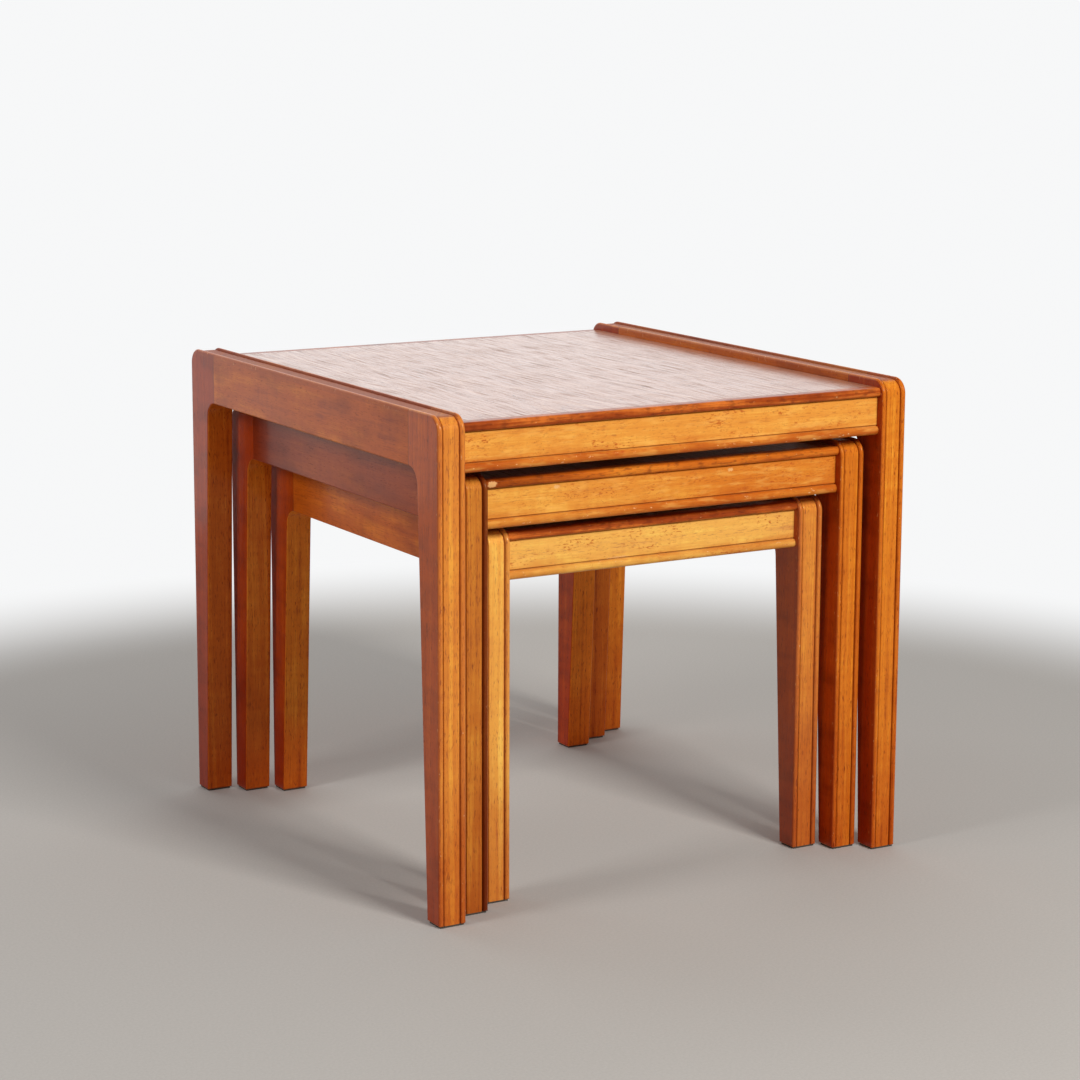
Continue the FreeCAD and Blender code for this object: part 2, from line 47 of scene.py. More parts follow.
class Graph:
    """Adds shader nodes to one tree. Each method returns the new node's output socket."""

    def __init__(self, tree):
        self.tree = tree

    def node(self, kind, **settings):
        made = self.tree.nodes.new(kind)
        for name, value in settings.items():
            setattr(made, name, value)
        return made

    def feed(self, socket, value):
        if isinstance(value, bpy.types.NodeSocket):
            self.tree.links.new(value, socket)
        else:
            socket.default_value = value

    def math(self, operation, *values, clamp=False):
        made = self.node("ShaderNodeMath", operation=operation, use_clamp=clamp)
        for socket, value in zip(made.inputs, values):
            self.feed(socket, value)
        return made.outputs[0]

    def vector(self, operation, *values):
        made = self.node("ShaderNodeVectorMath", operation=operation)
        for socket, value in zip(made.inputs, values):
            self.feed(socket, value)
        return made.outputs["Value" if operation in ("LENGTH", "DOT_PRODUCT") else "Vector"]

    def split(self, vector):
        made = self.node("ShaderNodeSeparateXYZ")
        self.feed(made.inputs[0], vector)
        return made.outputs[0], made.outputs[1], made.outputs[2]

    def join(self, x, y, z):
        made = self.node("ShaderNodeCombineXYZ")
        for socket, value in zip(made.inputs, (x, y, z)):
            self.feed(socket, value)
        return made.outputs[0]

    def noise(self, vector, scale=1.0, detail=2.0, roughness=0.5, output=0):
        made = self.node("ShaderNodeTexNoise")
        self.feed(made.inputs["Vector"], vector)
        for name, value in (("Scale", scale), ("Detail", detail), ("Roughness", roughness)):
            self.feed(made.inputs[name], value)
        return made.outputs[output]

    def noise_line(self, position, detail=2.0, roughness=0.5):
        made = self.node("ShaderNodeTexNoise", noise_dimensions="1D")
        self.feed(made.inputs["W"], position)
        for name, value in (("Scale", 1.0), ("Detail", detail), ("Roughness", roughness)):
            self.feed(made.inputs[name], value)
        return made.outputs[0]

    def step(self, value, low, high):
        """0 below low, 1 above high and smooth between; with low above high it runs the other way."""
        made = self.node("ShaderNodeMapRange", interpolation_type="SMOOTHSTEP")
        flip = low > high
        self.feed(made.inputs["Value"], value)
        for name, level in (("From Min", min(low, high)), ("From Max", max(low, high)),
                            ("To Min", float(flip)), ("To Max", float(not flip))):
            self.feed(made.inputs[name], level)
        return made.outputs[0]

    def mix(self, share, first, second, blend="MIX"):
        made = self.node("ShaderNodeMix", data_type="RGBA", blend_type=blend)
        for name, value in (("Factor_Float", share), ("A_Color", first), ("B_Color", second)):
            socket = next(s for s in made.inputs if s.identifier == name)
            self.feed(socket, value)
        return next(s for s in made.outputs if s.identifier == "Result_Color")

    def near(self, value, place, half_width, fade):
        """1 within half_width of a place and 0 beyond fade more."""
        gap = self.math("ABSOLUTE", self.math("SUBTRACT", value, place))
        return self.step(gap, half_width + fade, half_width)


# Wood grain, as one node group ---------------------------------------------------------------

def add_sockets(tree, way, sockets):
    for name, kind in sockets:
        tree.interface.new_socket(name=name, in_out=way, socket_type=f"NodeSocket{kind}")


def make_grain_group():
    """Grain for a piece whose fibres run along its local Z, in millimetres from its middle."""
    tree = bpy.data.node_groups.new("wood_grain", "ShaderNodeTree")
    add_sockets(tree, "INPUT", (
        ("Place", "Vector"), ("Seed", "Float"), ("Pith", "Vector"), ("Ring Width", "Float"),
        ("Light", "Color"), ("Mid", "Color"), ("Dark", "Color"), ("Pore", "Color"),
        ("Ring Strength", "Float"), ("Cloud Strength", "Float"), ("Pore Strength", "Float"),
    ))
    add_sockets(tree, "OUTPUT", (("Color", "Color"), ("Gloss Shift", "Float"), ("Height", "Float")))
    g = Graph(tree)
    given = g.node("NodeGroupInput").outputs
    result = g.node("NodeGroupOutput").inputs
    seed = g.join(given["Seed"], g.math("MULTIPLY", given["Seed"], 1.7),
                  g.math("MULTIPLY", given["Seed"], 2.3))

    def stretched(across, along):
        """The place measured in units of `across` mm over the grain and `along` mm down it."""
        scaled = g.vector("DIVIDE", given["Place"], (across, across, along))
        return g.vector("ADD", scaled, seed)

    # Growth rings round a pith beside the piece; slow noise makes them wander.
    wander = g.vector("SUBTRACT", g.noise(stretched(120, 520), detail=2, output=1), (0.5, 0.5, 0.5))
    wander = g.vector("MULTIPLY", wander, (22, 22, 0))
    x, y, z = g.split(g.vector("ADD", given["Place"], wander))
    pith_x, pith_y, lean = g.split(given["Pith"])
    u = g.math("SUBTRACT", x, pith_x)
    v = g.math("ADD", g.math("SUBTRACT", y, pith_y), g.math("MULTIPLY", z, lean))
    radius = g.math("SQRT", g.math("ADD", g.math("MULTIPLY", u, u), g.math("MULTIPLY", v, v)))
    turns = g.math("ADD", g.math("DIVIDE", radius, given["Ring Width"]), given["Seed"])
    rings = g.noise_line(turns, detail=3, roughness=0.62)
    late = g.step(rings, 0.5, 0.72)

    fibre = g.noise(stretched(1.0, 34), detail=3, roughness=0.7)
    streak = g.noise(stretched(7, 260), detail=3, roughness=0.6)
    cloud = g.noise(stretched(34, 90), detail=3, roughness=0.6)
    ripple = g.noise(stretched(30, 7), detail=2, roughness=0.5)
    pore_noise = g.noise(stretched(1.0, 6.5), detail=2, roughness=0.55)
    fleck_noise = g.noise(stretched(1.8, 9), detail=2, roughness=0.6)

    def spread(value, amount):
        return g.math("MULTIPLY", g.math("SUBTRACT", value, 0.5), amount)

    tone = g.math("ADD", 0.56, spread(rings, g.math("MULTIPLY", given["Ring Strength"], -1.0)))
    tone = g.math("ADD", tone, spread(cloud, given["Cloud Strength"]))
    tone = g.math("ADD", tone, spread(fibre, 0.7))
    tone = g.math("ADD", tone, spread(streak, 0.75))
    tone = g.math("ADD", tone, spread(ripple, 0.35))
    color = g.mix(g.step(tone, 0.0, 0.5), given["Dark"], given["Mid"])
    color = g.mix(g.step(tone, 0.5, 1.0), color, given["Light"])

    open_pores = g.step(pore_noise, 0.55, 0.70)
    flecks = g.step(fleck_noise, 0.63, 0.76)
    crowd = g.math("ADD", 0.45, g.math("MULTIPLY", late, 0.55))
    pores = g.math("MAXIMUM", g.math("MULTIPLY", open_pores, crowd), g.math("MULTIPLY", flecks, 0.9))
    color = g.mix(g.math("MULTIPLY", pores, given["Pore Strength"], clamp=True), color, given["Pore"])

    gloss = g.math("ADD", spread(cloud, 0.16), g.math("MULTIPLY", pores, 0.12))
    height = g.math("SUBTRACT", g.math("MULTIPLY", fibre, 0.35), g.math("MULTIPLY", pores, 0.8))
    g.feed(result["Color"], color)
    g.feed(result["Gloss Shift"], gloss)
    g.feed(result["Height"], height)
    return tree


GRAIN = make_grain_group()
# Position axes in the order (across, across, along the grain).
GRAIN_ORDER = {"x": (1, 2, 0), "y": (0, 2, 1), "z": (0, 1, 2)}

TEAK = {"light": (236, 150, 46), "mid": (212, 116, 30), "dark": (164, 72, 20), "pore": (138, 52, 16)}
HONEY = {"light": (248, 182, 76), "mid": (232, 148, 50), "dark": (192, 94, 30), "pore": (162, 74, 28)}
RUSSET = {"light": (212, 114, 42), "mid": (158, 66, 20), "dark": (96, 32, 10), "pore": (74, 26, 8)}


def shade(palette, gain=1.0, warm=0.0):
    """A palette made lighter or darker; warm shifts it from yellow (-) to red (+)."""
    return {name: (red * gain * (1 + 0.2 * warm),
                   green * gain * (1 - 0.5 * warm),
                   blue * gain * (1 - 0.3 * warm))
            for name, (red, green, blue) in palette.items()}


def middle_of(low, high):
    return [(a + b) / 2 / MM for a, b in zip(low, high)]


# Colours of wear and dirt, and of painted shade and painted sheen, as 0-255 display values. Those used with
# MULTIPLY darken the wood.
BARE_WOOD = (236, 182, 118)
# The four flank colours are painted shade, chosen by the side a flank faces.
LEFT_FLANK_SHADE = (212, 144, 98)
RIGHT_FLANK_SHADE = (244, 212, 176)
LARGE_RIGHT_FLANK_SHADE = (186, 110, 90)
RAIL_FLANK_SHADE = (246, 214, 184)
FLANK_STAIN = (176, 140, 104)
TOP_CHANNEL_SHADE = (176, 132, 104)
BEAD_RED = (226, 186, 160)
QUIRK_DIRT_AND_SHADE = (150, 62, 24)
JOINT_LINE = (60, 26, 14)
ARRIS_DARK_LINE = (150, 60, 24)
ARRIS_WEAR = (230, 176, 118)
CREST_CHIP = (232, 190, 140)
LACQUER_BLOOM_AND_SHEEN = (250, 206, 160)
SHADED_BEAD = (134, 74, 66)
LOW_LEG_DARKENING = (212, 154, 124)
PINHOLE = (70, 24, 10)
SHADED_RAIL = (200, 140, 112)
APRON_BEAD_RED = (216, 168, 130)
LOW_APRON_BAND = (214, 150, 110)
APRON_END_SHADE = (236, 196, 150)
GRAIN_DASH = (186, 78, 28)
GRAIN_SPECK = (160, 64, 26)
PALE_PATCH = (250, 190, 96)
GROOVE_DIRT_AND_SHADE = (150, 64, 26)
TOP_JOINT = (120, 52, 22)
BEAD_NICK = (240, 196, 140)
LIPPING_SMEAR = (96, 34, 16)
LIPPING_NICK = (226, 170, 110)
DARK_LIPPING_END = (150, 84, 60)
OPEN_PORE = (80, 40, 28)

# Aged lacquer: its warm reflection, its strength, and the limits of its roughness.
LACQUER_GLINT = (255, 196, 132)
LACQUER_IOR, LACQUER_SPECULAR = 1.5, 0.2
SMOOTHEST, ROUGHEST = 0.16, 0.8
# Depth of the wood's bump, in metres.
WOOD_RELIEF = 0.00025


class Wood:
    """One piece's wood material: grain first, then tints, dirt and painted shade by place on the piece."""

    def __init__(self, name, box, axis, palette, seed, pith, ring=5.0, rings=0.9, clouds=0.9, pores=0.75,
                 roughness=0.33, bump=0.35):
        self.material = bpy.data.materials.new(name)
        self.material.use_nodes = True
        g = self.g = Graph(self.material.node_tree)
        self.shader = self.material.node_tree.nodes["Principled BSDF"]
        self.place = g.vector("SCALE", g.node("ShaderNodeTexCoord").outputs["Object"])
        self.place.node.inputs["Scale"].default_value = 1 / MM
        self.x, self.y, self.z = xyz = g.split(self.place)
        middle = middle_of(*box)
        order = GRAIN_ORDER[axis]
        local = [g.math("SUBTRACT", xyz[i], middle[i]) for i in order]
        group = g.node("ShaderNodeGroup", node_tree=GRAIN)
        values = {"Place": g.join(*local), "Seed": seed, "Pith": pith, "Ring Width": ring,
                  "Ring Strength": rings, "Cloud Strength": clouds, "Pore Strength": pores}
        values.update({tone.capitalize(): srgb(*palette[tone]) for tone in ("light", "mid", "dark", "pore")})
        for socket, value in values.items():
            g.feed(group.inputs[socket], value)
        self.seed = seed
        self.color = group.outputs["Color"]
        self.gloss = g.math("ADD", group.outputs["Gloss Shift"], roughness)
        self.height = group.outputs["Height"]
        self.bump = bump

    def tint(self, mask, color, share=1.0, blend="MIX"):
        g = self.g
        self.color = g.mix(g.math("MULTIPLY", mask, share, clamp=True), self.color, srgb(*color), blend)

    def speckle(self, across, along, low, high):
        """Sparse spots about `across` mm wide over X and Y and `along` mm tall."""
        spots = self.g.vector("ADD", self.g.vector("DIVIDE", self.place, (across, across, along)),
                              (self.seed * 3.1, self.seed * 1.3, self.seed * 2.9))
        return self.g.step(self.g.noise(spots, detail=2, roughness=0.6), low, high)

    def chip(self, middle, size):
        """A ragged pale spot where the surface has flaked away, half `size` millimetres from its middle."""
        g = self.g
        offset = g.vector("DIVIDE", g.vector("SUBTRACT", self.place, middle), size)
        ragged = g.math("MULTIPLY", g.noise(g.vector("DIVIDE", self.place, (1.4, 1.4, 1.4)), detail=2), 0.9)
        flake = g.step(g.math("ADD", g.vector("LENGTH", offset), ragged), 1.45, 1.15)
        self.color = g.mix(g.math("MULTIPLY", flake, 0.85), self.color, srgb(*BARE_WOOD))
        self.gloss = g.math("ADD", self.gloss, g.math("MULTIPLY", flake, 0.3))
        self.height = g.math("SUBTRACT", self.height, g.math("MULTIPLY", flake, 1.5))

    def finish(self, coat=0.14, coat_roughness=0.12):
        g, tree = self.g, self.material.node_tree
        bump = g.node("ShaderNodeBump")
        bump.inputs["Strength"].default_value = self.bump
        bump.inputs["Distance"].default_value = WOOD_RELIEF
        g.feed(bump.inputs["Height"], self.height)
        tree.links.new(bump.outputs[0], self.shader.inputs["Normal"])
        g.feed(self.shader.inputs["Base Color"], self.color)
        roughness = g.math("MINIMUM", g.math("MAXIMUM", self.gloss, SMOOTHEST), ROUGHEST)
        g.feed(self.shader.inputs["Roughness"], roughness)
        g.feed(self.shader.inputs["Coat Weight"], coat)
        self.shader.inputs["Coat Roughness"].default_value = coat_roughness
        self.shader.inputs["IOR"].default_value = LACQUER_IOR
        self.shader.inputs["Specular IOR Level"].default_value = LACQUER_SPECULAR
        self.shader.inputs["Specular Tint"].default_value = srgb(*LACQUER_GLINT)
        return self.material


def wear(node, material):
    slots = NODES[node].data.materials
    slots.clear()
    slots.append(material)


# The pieces -----------------------------------------------------------------------------------

def table_box(table):
    corners = [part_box(f"{table}_{end}_{side}_leg") for end in ("front", "back") for side in ("left", "right")]
    low = [min(c[0][i] for c in corners) / MM for i in range(3)]
    high = [max(c[1][i] for c in corners) / MM for i in range(3)]
    return low, high


def depth_from_end(wood, table, end):
    low, high = table_box(table)
    if end == "front":
        return wood.g.math("SUBTRACT", wood.y, low[1])
    return wood.g.math("SUBTRACT", high[1], wood.y)


def mould_frame(wood, table, box, depths, joints, flank_shade):
    """Painted shade on the flanks and the top channel, redder beads, dirt and painted shade in the quirks, a
    darker line on the outer arris, worn crests and a dark line at each joint.
    """
    g = wood.g
    offset = g.math("SUBTRACT", wood.x, middle_of(*box)[0])
    across = g.math("ABSOLUTE", offset)
    drop = g.math("SUBTRACT", table_box(table)[1][2], wood.z)
    band = g.step(drop, BAND_DEPTH + 0.3, BAND_DEPTH)
    for depth in depths:
        band = g.math("MAXIMUM", band, g.step(depth, BAND_DEPTH + 0.3, BAND_DEPTH))
    flank = g.step(across, STOCK_HALF - 0.5, STOCK_HALF - 0.1)
    left_flank = g.math("MULTIPLY", flank, g.math("LESS_THAN", offset, 0.0))
    right_flank = g.math("MULTIPLY", flank, g.math("GREATER_THAN", offset, 0.0))
    # Painted shade: each flank is darkened and reddened by the side it faces.
    wood.tint(left_flank, flank_shade, 1.0, "MULTIPLY")
    wood.tint(right_flank, RIGHT_FLANK_SHADE, 1.0, "MULTIPLY")
    stains = g.noise(g.vector("DIVIDE", wood.place, (20.0, 70.0, 24.0)), detail=3)
    wood.tint(g.math("MULTIPLY", flank, g.step(stains, 0.45, 0.75)), FLANK_STAIN, 0.55, "MULTIPLY")
    # Painted shade: the recessed channel along the top edge is made darker, and rougher.
    channel = g.math("MULTIPLY", g.step(drop, 2.6, 2.0), g.step(across, 10.0, 9.2))
    wood.tint(channel, TOP_CHANNEL_SHADE, 0.8, "MULTIPLY")
    wood.gloss = g.math("ADD", wood.gloss, g.math("MULTIPLY", channel, 0.3))
    past_quirk = g.step(across, QUIRK_LINE, QUIRK_LINE + 0.6)
    before_flank = g.step(across, STOCK_HALF - 0.1, STOCK_HALF - 0.5)
    bead = g.math("MULTIPLY", past_quirk, before_flank)
    wood.tint(g.math("MULTIPLY", bead, band), BEAD_RED, 0.5, "MULTIPLY")
    # Dirt and painted shade in the quirk beside each bead.
    quirk = g.math("MULTIPLY", g.near(across, QUIRK_LINE, 0.3, 0.5), band)
    wood.tint(quirk, QUIRK_DIRT_AND_SHADE, 0.45)
    for joint in joints:
        wood.tint(g.near(wood.y, joint, 0.12, 0.45), JOINT_LINE, 0.7)
    # A darker line along the outer arris of the moulding band, with pale worn specks on it.
    arris = g.math("MULTIPLY", g.near(across, 12.3, 0.3, 0.4), band)
    wood.tint(arris, ARRIS_DARK_LINE, 0.4)
    wood.tint(g.math("MULTIPLY", arris, wood.speckle(1.6, 6.0, 0.64, 0.72)), ARRIS_WEAR, 0.6)
    crest = g.math("MULTIPLY", g.near(across, 10.6, 1.4, 0.9), band)
    chips = g.math("MULTIPLY", crest, wood.speckle(2.2, 3.4, 0.70, 0.76))
    wood.tint(chips, CREST_CHIP, 0.8)


LEG_TONES = {
    ("large", "front", "left"): shade(TEAK, 1.04, -0.08),
    ("large", "front", "right"): shade(TEAK, 1.03, -0.04),
    ("large", "back", "left"): shade(TEAK, 0.9, 0.15),
    ("large", "back", "right"): shade(TEAK, 1.0, 0.0),
    ("medium", "front", "left"): shade(TEAK, 0.93, -0.06),
    ("medium", "front", "right"): shade(TEAK, 1.0, 0.0),
    ("medium", "back", "left"): shade(TEAK, 0.94, 0.1),
    ("medium", "back", "right"): shade(TEAK, 0.92, 0.1),
    ("small", "front", "left"): shade(HONEY, 1.05, -0.1),
    ("small", "front", "right"): shade(TEAK, 1.0, -0.05),
    ("small", "back", "left"): shade(TEAK, 1.02, 0.0),
    # Lighter: partly its own tone, partly painted light against the shade under the tables.
    ("small", "back", "right"): shade(TEAK, 1.12, 0.0),
}
# How much pale each leg has mixed in, partly the milky bloom of old lacquer and partly a painted sheen of
# reflected white; the others have none.
LEG_BLOOM_AND_SHEEN = {
    ("large", "front", "left"): 0.06,
    ("medium", "front", "left"): 0.03,
    ("small", "front", "left"): 0.1,
    ("small", "front", "right"): 0.06,
}
RAIL_TONES = {
    ("large", "left"): shade(TEAK, 0.92, 0.04),
    ("large", "right"): shade(TEAK, 0.98, -0.06),
    ("medium", "left"): shade(TEAK, 0.74, 0.24),
    ("medium", "right"): shade(TEAK, 0.95, 0.06),
    ("small", "left"): shade(TEAK, 1.0, 0.0),
    ("small", "right"): shade(TEAK, 0.98, 0.0),
}
FRAME_SEED, FRAME_SEED_STEP = 1.0, 7.3
APRON_SEED, APRON_SEED_STEP = 200.0, 5.9


def low_leg_mask(wood):
    """1 near the floor, where a leg is made darker, and 0 higher up, with a ragged edge."""
    ragged = wood.g.math("MULTIPLY", wood.speckle(30.0, 60.0, 0.2, 0.8), 90.0)
    return wood.g.step(wood.g.math("ADD", wood.z, ragged), 230.0, 40.0)


def dress_frames():
    seed = FRAME_SEED
    for (table, end, side), palette in LEG_TONES.items():
        seed += FRAME_SEED_STEP
        node = f"{table}_{end}_{side}_leg"
        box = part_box(node)
        low, high = table_box(table)
        wood = Wood(node, box, "z", palette, seed, (70 + 4 * seed % 40, -60, 0.02), ring=4.2, pores=1.0)
        joint = low[1] + HEAD_DEPTH if end == "front" else high[1] - HEAD_DEPTH
        # Painted shade on the left flanks, darker on the large table's right legs, whose left flanks face
        # inward.
        flank_shade = LARGE_RIGHT_FLANK_SHADE if (table, side) == ("large", "right") else LEFT_FLANK_SHADE
        mould_frame(wood, table, box, [depth_from_end(wood, table, end)], [joint], flank_shade)
        # Pale mixed in: partly the milky bloom of old lacquer, partly a painted sheen of reflected white.
        wood.tint(1.0, LACQUER_BLOOM_AND_SHEEN, LEG_BLOOM_AND_SHEEN.get((table, end, side), 0.0))
        if (table, end, side) == ("medium", "front", "left"):
            bead_start = middle_of(*box)[0] + QUIRK_LINE
            inner_bead = wood.g.step(wood.x, bead_start - 0.2, bead_start + 0.6)
            wood.tint(inner_bead, SHADED_BEAD, 0.8, "MULTIPLY")
        # Darker towards the floor.
        wood.tint(low_leg_mask(wood), LOW_LEG_DARKENING, 0.7, "MULTIPLY")
        holes = wood.speckle(2.0, 2.6, 0.735, 0.76)
        wood.tint(holes, PINHOLE, 0.7)
        wear(node, wood.finish())
    for (table, side), palette in RAIL_TONES.items():
        seed += FRAME_SEED_STEP
        node = f"{table}_{side}_rail"
        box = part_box(node)
        low, high = table_box(table)
        wood = Wood(node, box, "y", palette, seed, (90, -35 + seed % 20, 0.03), ring=7.0, clouds=1.3)
        # Painted shade on the rails' left flanks.
        mould_frame(wood, table, box, [], [low[1] + HEAD_DEPTH, high[1] - HEAD_DEPTH], RAIL_FLANK_SHADE)
        if (table, side) == ("medium", "left"):
            wood.tint(wood.g.step(wood.y, 20.0, 150.0), SHADED_RAIL, 0.8, "MULTIPLY")
        wear(node, wood.finish())


LIPPING_TONES = {
    "large": shade(RUSSET, 1.02),
    "medium": shade(TEAK, 0.96, 0.05),
    "small": shade(RUSSET, 1.04),
}
# Each table's apron: its tone, the share of milky bloom and painted sheen, and the redness of its bead.
APRON_TONES = {
    "large": shade(HONEY, 1.0, -0.02),
    "medium": shade(HONEY, 1.0, -0.04),
    "small": shade(HONEY, 1.06, -0.18),
}
APRON_BLOOM_AND_SHEEN = {"large": 0.05, "medium": 0.05, "small": 0.16}
APRON_BEAD_SHARE = {"large": 0.8, "medium": 0.4, "small": 0.3}
# Where the front aprons are damaged, as X in millimetres.
MEDIUM_DINGS = (-108.0, 67.0)
SMALL_RUB = -36.0


def dress_aprons():
    seed = APRON_SEED
    for table in TABLES:
        for end in ("front", "back"):
            seed += APRON_SEED_STEP
            node = f"{table}_{end}_apron"
            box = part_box(node)
            wood = Wood(node, box, "x", APRON_TONES[table], seed, (60, -45, 0.02),
                        ring=9.0, rings=0.5, clouds=1.1, pores=0.55)
            g = wood.g
            # Pale mixed in: partly the milky bloom of old lacquer, partly a painted sheen of reflected white.
            wood.tint(1.0, LACQUER_BLOOM_AND_SHEEN, APRON_BLOOM_AND_SHEEN[table])
            face, bottom, top = box[0][1] / MM, box[0][2] / MM, box[1][2] / MM
            rise = g.math("SUBTRACT", wood.z, bottom)
            outer = g.step(depth_from_end(wood, table, end), 14.5, 13.5)
            bead = g.math("MULTIPLY", g.step(rise, APRON_BEAD, APRON_BEAD - 0.5), outer)
            wood.tint(bead, APRON_BEAD_RED, APRON_BEAD_SHARE[table], "MULTIPLY")
            # Darker and redder towards the bottom of the apron, in patches.
            low_band = g.math("MULTIPLY", g.step(rise, 17.0, 8.5), wood.speckle(60.0, 14.0, 0.3, 0.7))
            wood.tint(low_band, LOW_APRON_BAND, 0.55, "MULTIPLY")
            # Painted shade: the medium table's apron is darker towards its right end.
            if table == "medium":
                wood.tint(g.step(wood.x, -120.0, 60.0), APRON_END_SHADE, 0.8, "MULTIPLY")
            crowded = wood.speckle(42.0, 16.0, 0.44, 0.66)
            dashes = g.math("MULTIPLY", wood.speckle(4.4, 1.5, 0.54, 0.66), crowded)
            wood.tint(dashes, GRAIN_DASH, 0.8)
            gathered = wood.speckle(28.0, 11.0, 0.40, 0.70)
            specks = g.math("MULTIPLY", wood.speckle(1.5, 1.3, 0.62, 0.72), gathered)
            wood.tint(specks, GRAIN_SPECK, 0.7)
            pale = wood.speckle(26.0, 5.0, 0.50, 0.70)
            wood.tint(pale, PALE_PATCH, 0.35)
            # Dirt and painted shade in the groove above the bead.
            groove = g.math("MULTIPLY", g.near(rise, APRON_BEAD + 0.5, 0.3, 0.5), outer)
            wood.tint(groove, GROOVE_DIRT_AND_SHADE, 0.5)
            wood.tint(g.near(wood.z, top, 0.2, 0.5), TOP_JOINT, 0.5)
            nicks = g.math("MULTIPLY", bead, wood.speckle(5.0, 2.4, 0.66, 0.73))
            wood.tint(nicks, BEAD_NICK, 0.7)
            if (table, end) == ("medium", "front"):
                for x in MEDIUM_DINGS:
                    wood.chip((x, face, top - 4.0), (4.2, 6.0, 2.0))
            if (table, end) == ("small", "front"):
                wood.chip((SMALL_RUB, face, bottom + APRON_BEAD + 1.0), (15.0, 6.0, 1.3))
            wear(node, wood.finish())
            seed += APRON_SEED_STEP
            node = f"{table}_{end}_lipping"
            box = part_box(node)
            wood = Wood(node, box, "x", LIPPING_TONES[table], seed, (50, -30, 0.0),
                        ring=3.5, pores=0.6, clouds=1.8)
            smears = wood.speckle(9.0, 3.0, 0.50, 0.68)
            wood.tint(smears, LIPPING_SMEAR, 0.5)
            nicks = wood.speckle(3.6, 1.8, 0.70, 0.76)
            wood.tint(nicks, LIPPING_NICK, 0.6)
            if (table, end) == ("medium", "front"):
                wood.tint(wood.g.step(wood.x, -60.0, -185.0), DARK_LIPPING_END, 0.7, "MULTIPLY")
                end_chip = (box[0][0] / MM + 5.5, box[0][1] / MM, middle_of(*box)[2])
                wood.chip(end_chip, (5.0, 6.0, 3.0))
            wear(node, wood.finish())


TOP_SEEDS = {"large": 40.0, "medium": 51.0, "small": 62.0}
TOP_WOOD = {"light": (206, 146, 112), "mid": (184, 120, 88), "dark": (146, 84, 58), "pore": (62, 28, 20)}


def dress_tops():
    for table, seed in TOP_SEEDS.items():
        node = f"{table}_top_panel"
        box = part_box(node)
        wood = Wood(node, box, "y", TOP_WOOD, seed, (-88, -62, 0.1), ring=4.0, rings=1.2,
                    clouds=0.6, pores=0.9, roughness=0.36, bump=0.5)
        g = wood.g
        # Long open pores, which sway gently down the panel, break the lacquer's shine.
        sway = g.noise(g.vector("DIVIDE", wood.place, (34.0, 80.0, 10.0)), detail=1)
        follow = g.math("ADD", wood.x, g.math("MULTIPLY", sway, 14.0))

        def pore_lines(width, length, low, high, shift):
            across, along = g.math("DIVIDE", follow, width), g.math("DIVIDE", wood.y, length)
            return g.step(g.noise(g.join(across, along, wood.seed + shift), detail=0), low, high)

        fine = pore_lines(0.8, 42.0, 0.50, 0.70, 0.0)
        broken = pore_lines(0.7, 24.0, 0.34, 0.56, 9.0)
        bold = g.math("MULTIPLY", pore_lines(1.3, 90.0, 0.60, 0.74, 5.0), broken)
        streaks = g.math("MAXIMUM", g.math("MULTIPLY", fine, 0.6), bold)
        wood.tint(streaks, OPEN_PORE, 0.62)
        surface = box[1][2] / MM
        underside = g.step(wood.z, surface - 0.5, surface - 1.5)
        dull = g.math("MAXIMUM", streaks, underside)
        wood.gloss = g.math("ADD", wood.gloss, g.math("MULTIPLY", dull, 0.4))
        wood.height = g.math("SUBTRACT", wood.height, g.math("MULTIPLY", streaks, 0.8))
        unlit = g.math("MAXIMUM", g.math("MULTIPLY", streaks, 0.66), underside)
        shine = g.math("SUBTRACT", 1.0, unlit)
        wear(node, wood.finish(coat=g.math("MULTIPLY", shine, 0.95), coat_roughness=0.2))


def plain_material(name, low, high, grain, roughness, metallic=0.0, bump=0.2):
    """Two close colours mixed by noise at `grain` mm, for felt, steel and bare beech."""
    material = bpy.data.materials.new(name)
    material.use_nodes = True
    g = Graph(material.node_tree)
    shader = material.node_tree.nodes["Principled BSDF"]
    place = g.vector("DIVIDE", g.node("ShaderNodeTexCoord").outputs["Object"], tuple(v * MM for v in grain))
    noise = g.noise(place, detail=4, roughness=0.65)
    g.feed(shader.inputs["Base Color"], g.mix(g.step(noise, 0.3, 0.7), srgb(*low), srgb(*high)))
    g.feed(shader.inputs["Roughness"], g.math("ADD", roughness, g.math("MULTIPLY", noise, 0.15)))
    shader.inputs["Metallic"].default_value = metallic
    made = g.node("ShaderNodeBump")
    made.inputs["Strength"].default_value = bump
    made.inputs["Distance"].default_value = 0.0003
    g.feed(made.inputs["Height"], noise)
    material.node_tree.links.new(made.outputs[0], shader.inputs["Normal"])
    return material


def dress_small_parts():
    felt = plain_material("felt", (46, 40, 34), (84, 74, 62), (0.5, 0.5, 0.5), 0.85, bump=0.8)
    steel = plain_material("screw_steel", (150, 150, 148), (192, 190, 184), (0.6, 0.6, 2.0), 0.3,
                           metallic=1.0)
    beech = plain_material("bare_beech", (196, 158, 116), (222, 188, 146), (1.2, 26.0, 1.2), 0.62)
    beech_blocks = plain_material("bare_beech_blocks", (190, 150, 108), (218, 182, 140),
                                  (1.2, 1.2, 22.0), 0.62)
    for table in TABLES:
        wear(f"{table}_foot_felts", felt)
        wear(f"{table}_top_screws", steel)
        wear(f"{table}_frame_screws", steel)
        for part in ("rail_dowels", "apron_dowels", "side_battens"):
            wear(f"{table}_{part}", beech)
        wear(f"{table}_corner_blocks", beech_blocks)


dress_frames()
dress_aprons()
dress_tops()
dress_small_parts()


# Studio ---------------------------------------------------------------------------------------

